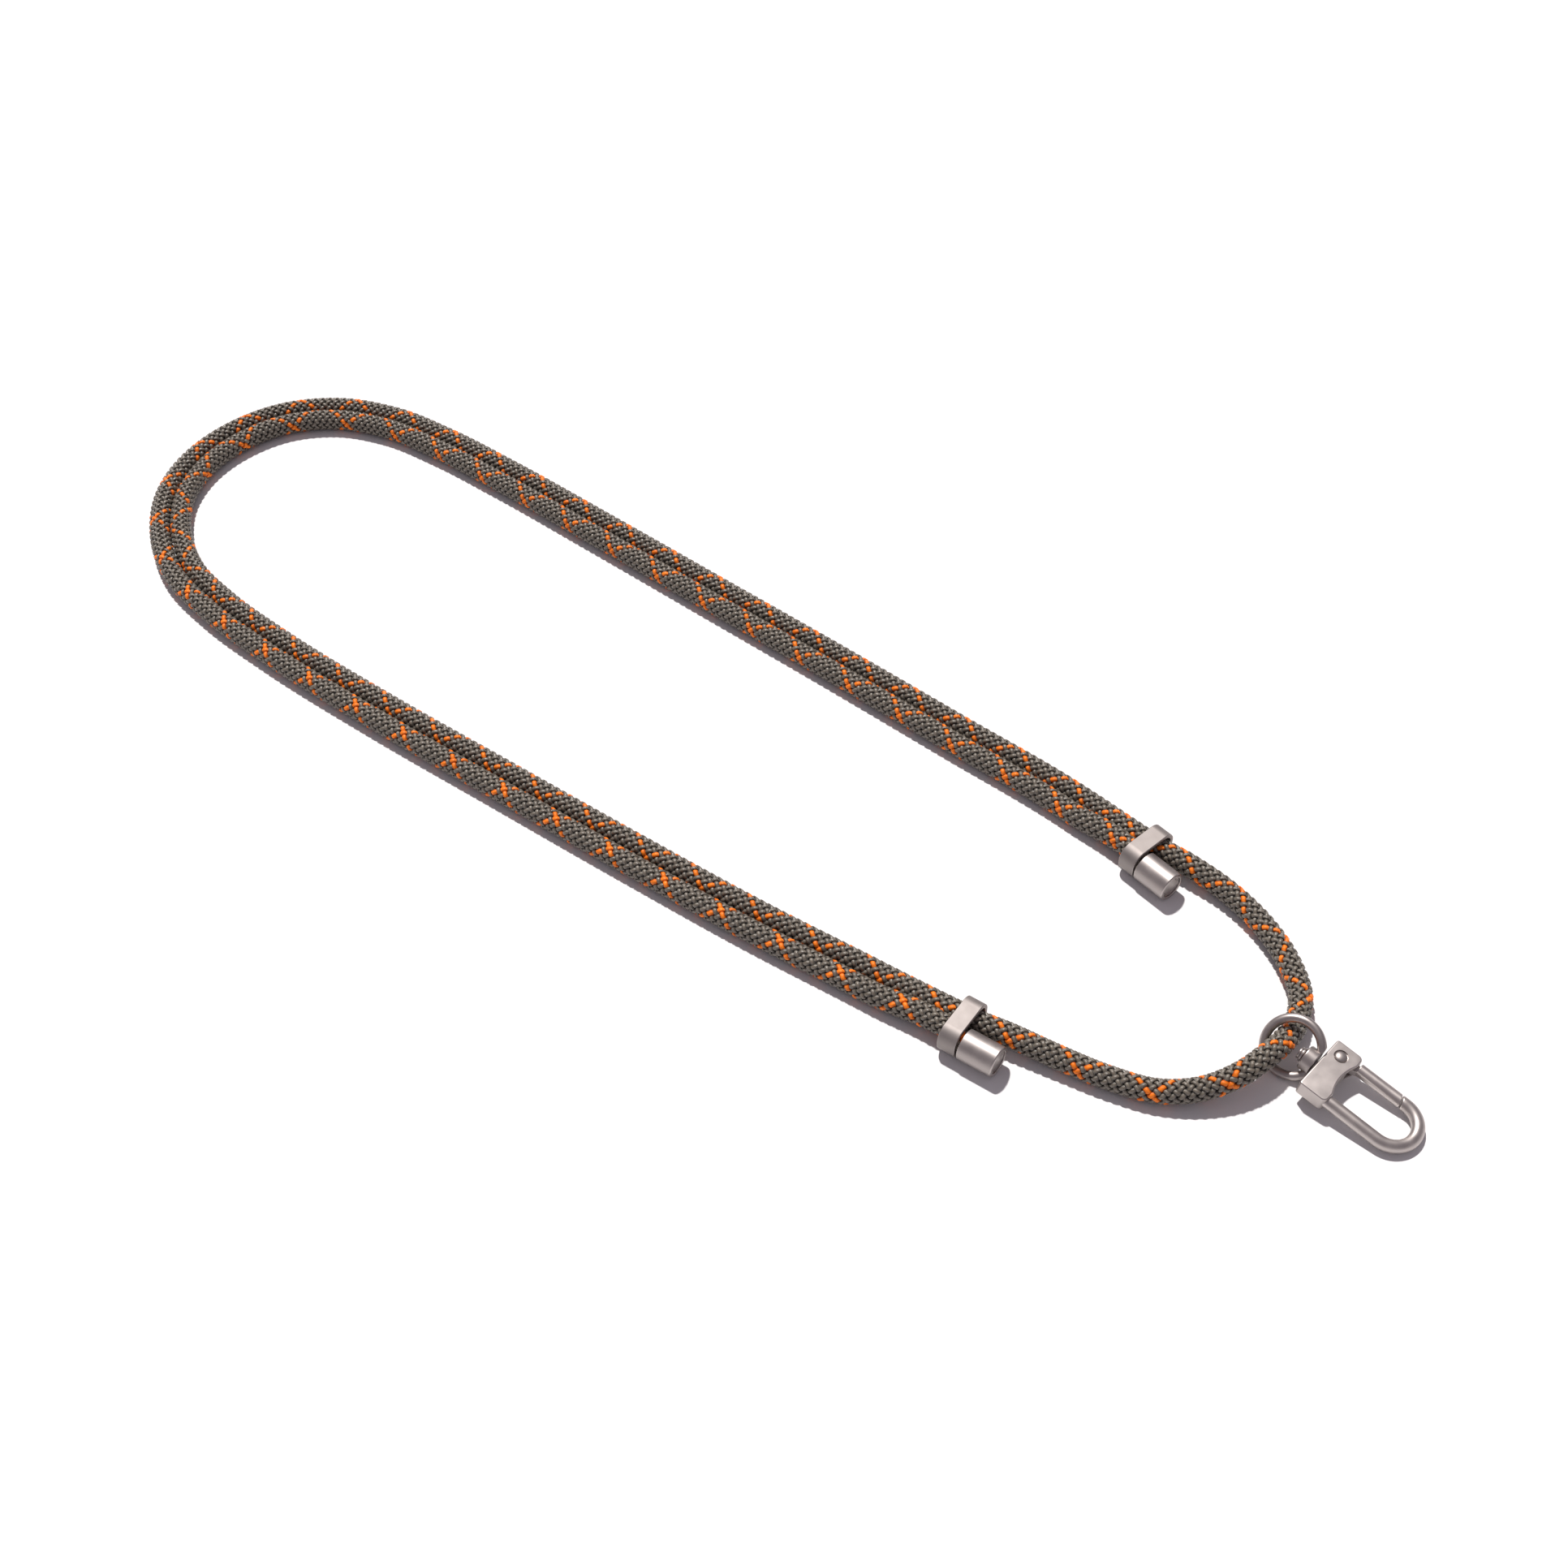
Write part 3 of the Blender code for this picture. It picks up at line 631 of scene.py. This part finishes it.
for side, cap_frame in cap_frames.items():
    bore = CAP_RADIUS - CAP_WALL
    far, floor_face = CAP_LENGTH, CAP_LENGTH - CAP_SINK
    rim = CAP_RADIUS - CAP_EDGE - CAP_RIM
    outline = [
        (far - CAP_FLOOR, 0.0, 0.0), (far - CAP_FLOOR, bore, 0.0002), (0.0, bore, 0.0001),
        (0.0, CAP_RADIUS, 0.0002), (far, CAP_RADIUS, CAP_EDGE), (far, rim, 0.00015),
        (floor_face, rim, 0.0001),
        (floor_face, GROOVE_RADIUS + 2 * GROOVE_HALF, 0.00006),
        (floor_face - GROOVE_DEPTH, GROOVE_RADIUS + GROOVE_HALF, 0.00005),
        (floor_face - GROOVE_DEPTH, GROOVE_RADIUS - GROOVE_HALF, 0.00005),
        (floor_face, GROOVE_RADIUS - 2 * GROOVE_HALF, 0.00006),
        (floor_face, 0.0, 0.0),
    ]
    metal_piece(f"cap_{side}_cup", turned(outline, CAP_STEPS), cap_frame, "strap",
                nickel_material(f"satin nickel cap {side}", 0.48), f"end_cap_{side}")


# Swivel eye
# The eye is one casting: a round ring that the rope runs through, cut flat in front, with
# a short drilled barrel grown onto it for the hook's pin.
EYE_RADIUS = 0.0078
EYE_WIRE = 0.0013
EYE_FLAT = 0.0073
EYE_ROLL = radians(43.0)
EYE_SEAT = EYE_RADIUS - EYE_WIRE - ROPE_RADIUS - GAP
EYE_SLIDE = -0.0024
BARREL_RADIUS = 0.0036
BARREL_LENGTH = 0.0034
PIN_RADIUS = 0.00105
HOOK_YAW = radians(-4.6)
BEND_CENTRE = 0.0319
BAR_RADIUS = 0.00185
BAR_OFFSET = 0.0072
RING_STEPS = 112
WIRE_SIDES = 28

outermost = max(SINGLE_RUN)
pitch = 0.0
for _ in range(20):
    eye_height = EYE_WIRE + EYE_RADIUS * hypot(sin(pitch), cos(pitch) * sin(EYE_ROLL))
    pitch = asin((eye_height - BAR_RADIUS) / (BEND_CENTRE + BAR_OFFSET))
swivel_frame = frame_at((outermost[0] + EYE_SEAT, outermost[1] + EYE_SLIDE, eye_height),
                        (cos(HOOK_YAW) * cos(pitch), sin(HOOK_YAW) * cos(pitch), -sin(pitch)))
eye_frame = swivel_frame @ Matrix.Rotation(EYE_ROLL, 4, "X")

# The ring's two ends lie inside the barrel's wall, clear of its bore
opening = asin((PIN_RADIUS + GAP + BARREL_RADIUS) / 2 / EYE_RADIUS)
eye = bmesh.new()
section = (Matrix.Rotation(opening, 4, "Z") @ Matrix.Translation((EYE_RADIUS, 0.0, 0.0))
           @ Matrix.Rotation(pi / 2, 4, "X"))
bmesh.ops.create_circle(eye, radius=EYE_WIRE, segments=WIRE_SIDES, matrix=section)
bmesh.ops.spin(eye, geom=eye.verts[:] + eye.edges[:], cent=(0, 0, 0), axis=(0, 0, 1),
               dvec=(0, 0, 0), angle=2 * (pi - opening), steps=RING_STEPS)
bmesh.ops.holes_fill(eye, edges=[e for e in eye.edges if e.is_boundary], sides=0)
bmesh.ops.bisect_plane(eye, geom=eye.verts[:] + eye.edges[:] + eye.faces[:],
                       plane_co=(EYE_FLAT, 0, 0), plane_no=(1, 0, 0), clear_outer=True)
bmesh.ops.holes_fill(eye, edges=[e for e in eye.edges if e.is_boundary], sides=0)
barrel_back = EYE_FLAT - BARREL_LENGTH
barrel = turned([
    (barrel_back, PIN_RADIUS + GAP, 0.0001), (barrel_back, BARREL_RADIUS, 0.00045),
    (EYE_FLAT, BARREL_RADIUS, 0.00025), (EYE_FLAT, PIN_RADIUS + GAP, 0.0001),
], 72, closed=True)
barrel_mesh = bpy.data.meshes.new("barrel")
barrel.to_mesh(barrel_mesh)
barrel.free()
eye.from_mesh(barrel_mesh)
bpy.data.meshes.remove(barrel_mesh)
metal_piece("eye_casting", eye, eye_frame, "strap",
            nickel_material("satin nickel eye", 0.42), "swivel_eye")


# Swivel pin
# The pin is turned with two stacked discs for a head, which lies inside the ring. Its
# shank passes the barrel and is riveted in the hook's block.
SWIVEL_GAP = 0.0005
BLOCK_START = EYE_FLAT + SWIVEL_GAP
PIN_DEPTH = 0.0034
HEAD_LENGTH = 0.0014
HEAD_RADIUS = 0.0021
DISC_LENGTH = 0.0006
DISC_RADIUS = 0.0018
HEAD_NECK = 0.0002
NECK_RADIUS = 0.0014

head_end = barrel_back - GAP
head_start = head_end - HEAD_LENGTH
disc_end = head_start + DISC_LENGTH
neck_end = disc_end + HEAD_NECK
metal_piece("pin_turned", turned([
    (head_start, 0.0, 0.0), (head_start, DISC_RADIUS, 0.00022), (disc_end, DISC_RADIUS, 0.0001),
    (disc_end, NECK_RADIUS, 0.00004), (neck_end, NECK_RADIUS, 0.00004),
    (neck_end, HEAD_RADIUS, 0.00015), (head_end, HEAD_RADIUS, 0.00012),
    (head_end, PIN_RADIUS, 0.00005), (BLOCK_START + PIN_DEPTH, PIN_RADIUS, 0.0001),
    (BLOCK_START + PIN_DEPTH, 0.0, 0.0),
], 64), swivel_frame, "hook", nickel_material("satin nickel pin", 0.38), "swivel_pin")


# Hook body
# The hook is one zinc casting, plated: a flat block with soft edges and an arched front,
# and a round bar that leaves it, bends back and ends in a slanted nose.
BLOCK_LENGTH = 0.0085
BLOCK_FRONT = BLOCK_START + BLOCK_LENGTH
BLOCK_WIDTH = 0.0188
BLOCK_THICKNESS = 0.0050
BLOCK_CORNER = 0.0008
BLOCK_LOBE = 0.0015
BLOCK_EDGE = 0.00045
ARCH_HALF = 0.0058
ARCH_DEPTH = 0.0013
BAR_ROOT = 0.0030
LEG_LENGTH = 0.0156
NOSE_LENGTH = 0.0020
NOSE_SLANT = radians(18.0)
NOSE_END = BEND_CENTRE - NOSE_LENGTH
NOSE_RIM = 0.00025
GATE_CLEAR = 0.0005
GATE_START = BLOCK_FRONT + GATE_CLEAR
TAIL_RADIUS = 0.0021
TAIL_THICKNESS = 0.0022
SLOT_MARGIN = 0.0007
RIVET_PLACE = BLOCK_START + 0.0036
RIVET_OFFSET = BAR_OFFSET - 0.0018
RIVET_RADIUS = 0.0009
RIVET_HEAD = 0.00175
SINK_DEPTH = 0.0005
BAR_SIDES = 48
BEND_STEPS = 60
# A lighter copy of the nickel colour for the hook and gate: painted reflection of a brighter
# room in their bars
NICKEL_PAINTED_LIGHTER = (0.52, 0.475, 0.455)
# How fast the height that the bump reads falls away from the block's middle
BLOCK_CROWN = -660000.0


def arc(centre, radius, start, end, steps):
    """Points of an arc about a centre."""
    angles = [start + (end - start) * step / steps for step in range(steps + 1)]
    return [(centre[0] + radius * cos(a), centre[1] + radius * sin(a)) for a in angles]


def box(low, high):
    """A box between two corners."""
    size = [b - a for a, b in zip(low, high)]
    middle = [(a + b) / 2 for a, b in zip(low, high)]
    bm = bmesh.new()
    bmesh.ops.create_cube(bm, size=1.0, matrix=Matrix.LocRotScale(middle, None, size))
    return bm


def extrude_end(bm, geom, move):
    """Extrude an end face by a move, and return what the new end is made of."""
    made = bmesh.ops.extrude_face_region(bm, geom=geom)["geom"]
    moved = [item for item in made if isinstance(item, bmesh.types.BMVert)]
    bmesh.ops.translate(bm, verts=moved, vec=move)
    return made


def plate(outline, thickness):
    """A flat plate, centred on its mid plane, from an outline of (x, y) points."""
    bm = bmesh.new()
    bm.faces.new([bm.verts.new((x, y, -thickness / 2)) for x, y in outline])
    extrude_end(bm, bm.faces[:], (0.0, 0.0, thickness))
    bmesh.ops.recalc_face_normals(bm, faces=bm.faces)
    return bm


def bar_start(bm, along):
    """The end face of the round bar on one side of the hook, square to it."""
    turn = Matrix.Rotation(pi / 2, 4, "Y") @ Matrix.Rotation(pi / BAR_SIDES, 4, "Z")
    place = Matrix.Translation(along) @ turn
    bmesh.ops.create_circle(bm, cap_ends=True, radius=BAR_RADIUS, segments=BAR_SIDES,
                            matrix=place)


def slant(bm, end, outer_side):
    """Shear a bar's end to the slanted joint, and soften its rim."""
    face = [item for item in end if isinstance(item, bmesh.types.BMFace)][0]
    for vert in face.verts:
        vert.co.x = outer_side + (BAR_OFFSET + BAR_RADIUS - vert.co.y) * tan(NOSE_SLANT)
    bevel(bm, list(face.edges), NOSE_RIM, 3)


def combined(bm, tool, operation):
    """Weld one solid onto another or cut it out, and return the new one."""
    pair = []
    for part in (bm, tool):
        bmesh.ops.recalc_face_normals(part, faces=part.faces)
        data = bpy.data.meshes.new("part")
        part.to_mesh(data)
        part.free()
        pair.append(bpy.data.objects.new("part", data))
        bpy.context.scene.collection.objects.link(pair[-1])
    modifier = pair[0].modifiers.new("combine", "BOOLEAN")
    modifier.object = pair[1]
    modifier.operation = operation
    modifier.solver = "EXACT"
    graph = bpy.context.evaluated_depsgraph_get()
    made = bpy.data.meshes.new_from_object(pair[0].evaluated_get(graph), depsgraph=graph)
    result = bmesh.new()
    result.from_mesh(made)
    bpy.data.meshes.remove(made)
    for item in pair:
        data = item.data
        bpy.data.objects.remove(item, do_unlink=True)
        bpy.data.meshes.remove(data)
    return result


def crown_block(material, middle):
    """Shade the block's flat faces as if they bulge a little, as tumbled castings do."""
    tree = material.node_tree
    bump = next(item for item in tree.nodes if item.type == "BUMP")
    coords = node(tree, "ShaderNodeTexCoord")
    offset = node(tree, "ShaderNodeVectorMath", {0: coords.outputs["Object"], 1: middle},
                  operation="SUBTRACT")
    square = node(tree, "ShaderNodeVectorMath", {0: offset.outputs[0], 1: offset.outputs[0]},
                  operation="DOT_PRODUCT")
    height = node(tree, "ShaderNodeMath", {0: square.outputs["Value"], 1: BLOCK_CROWN,
                                           2: bump.inputs["Height"].links[0].from_socket},
                  operation="MULTIPLY_ADD")
    tree.links.new(height.outputs[0], bump.inputs["Height"])


half_width = BLOCK_WIDTH / 2
arch_radius = (ARCH_HALF**2 + ARCH_DEPTH**2) / (2 * ARCH_DEPTH)
arch_spread = asin(ARCH_HALF / arch_radius)
arch = arc((BLOCK_FRONT - ARCH_DEPTH + arch_radius, 0.0), arch_radius, pi + arch_spread,
           pi - arch_spread, 28)
block = plate([(BLOCK_START, -half_width), (BLOCK_FRONT, -half_width), *arch,
               (BLOCK_FRONT, half_width), (BLOCK_START, half_width)], BLOCK_THICKNESS)
upright = [e for e in block.edges if abs(e.verts[0].co.z - e.verts[1].co.z) > GAP]
outer_edges = [e for e in upright if abs(e.verts[0].co.y) > half_width - GAP]
block_middle = (BLOCK_START + BLOCK_FRONT) / 2
bevel(block, [e for e in outer_edges if e.verts[0].co.x > block_middle], BLOCK_LOBE, 10)
bevel(block, [e for e in block.edges if abs(e.verts[0].co.z - e.verts[1].co.z) > GAP
              and abs(e.verts[0].co.y) > half_width - GAP / 2
              and abs(e.verts[0].co.x - BLOCK_START) < GAP / 2], BLOCK_CORNER, 8)
bevel(block, sharp_edges(block, 80.0), BLOCK_EDGE)

bar = bmesh.new()
bar_start(bar, (BLOCK_FRONT - BAR_ROOT, -BAR_OFFSET, 0.0))
leg_end = extrude_end(bar, bar.faces[:], (BAR_ROOT + LEG_LENGTH, 0.0, 0.0))
bend = bmesh.ops.spin(bar, geom=leg_end, cent=(BEND_CENTRE, 0, 0), axis=(0, 0, 1),
                      dvec=(0, 0, 0), angle=pi, steps=BEND_STEPS)
slant(bar, extrude_end(bar, bend["geom_last"], (-NOSE_LENGTH, 0.0, 0.0)), NOSE_END)

rivet_frame = (swivel_frame @ Matrix.Translation((RIVET_PLACE, RIVET_OFFSET, 0.0))
               @ Matrix.Rotation(-pi / 2, 4, "Y"))
to_rivet = swivel_frame.inverted() @ rivet_frame
hook = combined(block, bar, "UNION")
slot_reach = TAIL_RADIUS + SLOT_MARGIN
slot_height = TAIL_THICKNESS / 2 + GAP
hook = combined(hook, box((RIVET_PLACE - slot_reach, RIVET_OFFSET - slot_reach, -slot_height),
                          (GATE_START, RIVET_OFFSET + slot_reach, slot_height)), "DIFFERENCE")
pin_hole = turned([(0.0, 0.0, 0.0), (0.0, PIN_RADIUS + GAP, 0.0),
                   (BLOCK_START + PIN_DEPTH + GAP, PIN_RADIUS + GAP, 0.0),
                   (BLOCK_START + PIN_DEPTH + GAP, 0.0, 0.0)], 32)
hook = combined(hook, pin_hole, "DIFFERENCE")
sink_floor = BLOCK_THICKNESS / 2 - SINK_DEPTH
rivet_hole = turned([(-BLOCK_THICKNESS, 0.0, 0.0), (-BLOCK_THICKNESS, RIVET_HEAD + GAP, 0.0),
                     (-sink_floor, RIVET_HEAD + GAP, 0.00008),
                     (-sink_floor, RIVET_RADIUS + GAP, 0.0),
                     (sink_floor, RIVET_RADIUS + GAP, 0.0),
                     (sink_floor, RIVET_HEAD + GAP, 0.00008),
                     (BLOCK_THICKNESS, RIVET_HEAD + GAP, 0.0),
                     (BLOCK_THICKNESS, 0.0, 0.0)], 64)
bmesh.ops.transform(rivet_hole, matrix=to_rivet, verts=rivet_hole.verts)
hook = combined(hook, rivet_hole, "DIFFERENCE")
hook_material = nickel_material("satin nickel hook", 0.45, NICKEL_PAINTED_LIGHTER)
crown_block(hook_material, swivel_frame @ Vector((block_middle, 0.0, 0.0)))
metal_piece("hook_casting", hook, swivel_frame, "hook", hook_material, "hook_body")


# Gate rivet
# A steel rivet, closed to a low dome on each side of the block inside its counterbores.
RIVET_DOME = 0.00085

under = BLOCK_THICKNESS / 2 - SINK_DEPTH + GAP / 3
dome = [(under + RIVET_DOME * sin(pi / 2 * step / 10), RIVET_HEAD * cos(pi / 2 * step / 10), 0.0)
        for step in range(10)]
rivet_above = [(under, RIVET_RADIUS, 0.0), *dome, (under + RIVET_DOME, 0.0, 0.0)]
rivet_below = [(-along, out, 0.0) for along, out, _ in reversed(rivet_above)]
metal_piece("rivet_domed", turned(rivet_below + rivet_above, 64), rivet_frame, "hook",
            nickel_material("satin nickel rivet", 0.50), "gate_rivet")


# Gate
# The gate is a round bar with a flat tail that turns on the rivet in the block's slot. A
# spring inside the block keeps it closed against the nose.
JOINT_GAP = 0.00035
GATE_LAP = 0.0007
TAIL_NECK = 0.0018

gate = bmesh.new()
bar_start(gate, (GATE_START, BAR_OFFSET, 0.0))
gate_end = extrude_end(gate, gate.faces[:], (NOSE_END - GATE_START, 0.0, 0.0))
slant(gate, gate_end, NOSE_END - JOINT_GAP)
gate_back = [f for f in gate.faces if f.normal.x < -0.9 and len(f.verts) == BAR_SIDES]
bevel(gate, [e for f in gate_back for e in f.edges], NOSE_RIM, 3)
tail_outer = RIVET_OFFSET + TAIL_RADIUS
tail_back = arc((RIVET_PLACE, RIVET_OFFSET), TAIL_RADIUS, pi / 2, 3 * pi / 2, 32)
tail = plate([(GATE_START + GATE_LAP, tail_outer), *tail_back,
              (GATE_START + GATE_LAP, tail_outer - TAIL_NECK)], TAIL_THICKNESS)
gate = combined(gate, tail, "UNION")
gate_hole = turned([(-BLOCK_THICKNESS, 0.0, 0.0), (-BLOCK_THICKNESS, RIVET_RADIUS + GAP, 0.0),
                    (BLOCK_THICKNESS, RIVET_RADIUS + GAP, 0.0),
                    (BLOCK_THICKNESS, 0.0, 0.0)], 48)
bmesh.ops.transform(gate_hole, matrix=to_rivet, verts=gate_hole.verts)
gate = combined(gate, gate_hole, "DIFFERENCE")
metal_piece("gate_bar", gate, swivel_frame, "gate",
            nickel_material("satin nickel gate", 0.48, NICKEL_PAINTED_LIGHTER), "gate")


# Floor and light
# A white table in plain sunlight from behind the strap, with soft light from the room.
FLOOR_HALF = 6.0
FLOOR_COLOR = (0.86, 0.86, 0.87)
SUN_STRENGTH = 3.75
SUN_WIDTH = radians(3.0)
SUN_COLOR = (1.0, 0.975, 0.94)
SUN_DIRECTION = (0.47, -0.31, -1.0)
ROOM_COLOR = (1.0, 0.90, 1.0)
ROOM_STRENGTH = 0.27

floor_mesh = bmesh.new()
bmesh.ops.create_grid(floor_mesh, x_segments=1, y_segments=1, size=FLOOR_HALF)
floor_data = bpy.data.meshes.new("floor")
floor_mesh.to_mesh(floor_data)
floor_mesh.free()
floor = bpy.data.objects.new("floor", floor_data)
bpy.context.scene.collection.objects.link(floor)
floor_material, floor_shader = new_material("white table", roughness=0.9)
floor_shader.inputs["Base Color"].default_value = (*FLOOR_COLOR, 1.0)
floor_data.materials.append(floor_material)

sun_data = bpy.data.lights.new("sun", "SUN")
sun_data.energy = SUN_STRENGTH
sun_data.angle = SUN_WIDTH
sun_data.color = SUN_COLOR
sun = bpy.data.objects.new("sun", sun_data)
sun.rotation_euler = Vector(SUN_DIRECTION).to_track_quat("-Z", "Y").to_euler()
bpy.context.scene.collection.objects.link(sun)
world = bpy.data.worlds.new("room")
world.use_nodes = True
background = world.node_tree.nodes["Background"]
background.inputs["Color"].default_value = (*ROOM_COLOR, 1.0)
background.inputs["Strength"].default_value = ROOM_STRENGTH
bpy.context.scene.world = world
bpy.context.scene.view_settings.view_transform = "Standard"
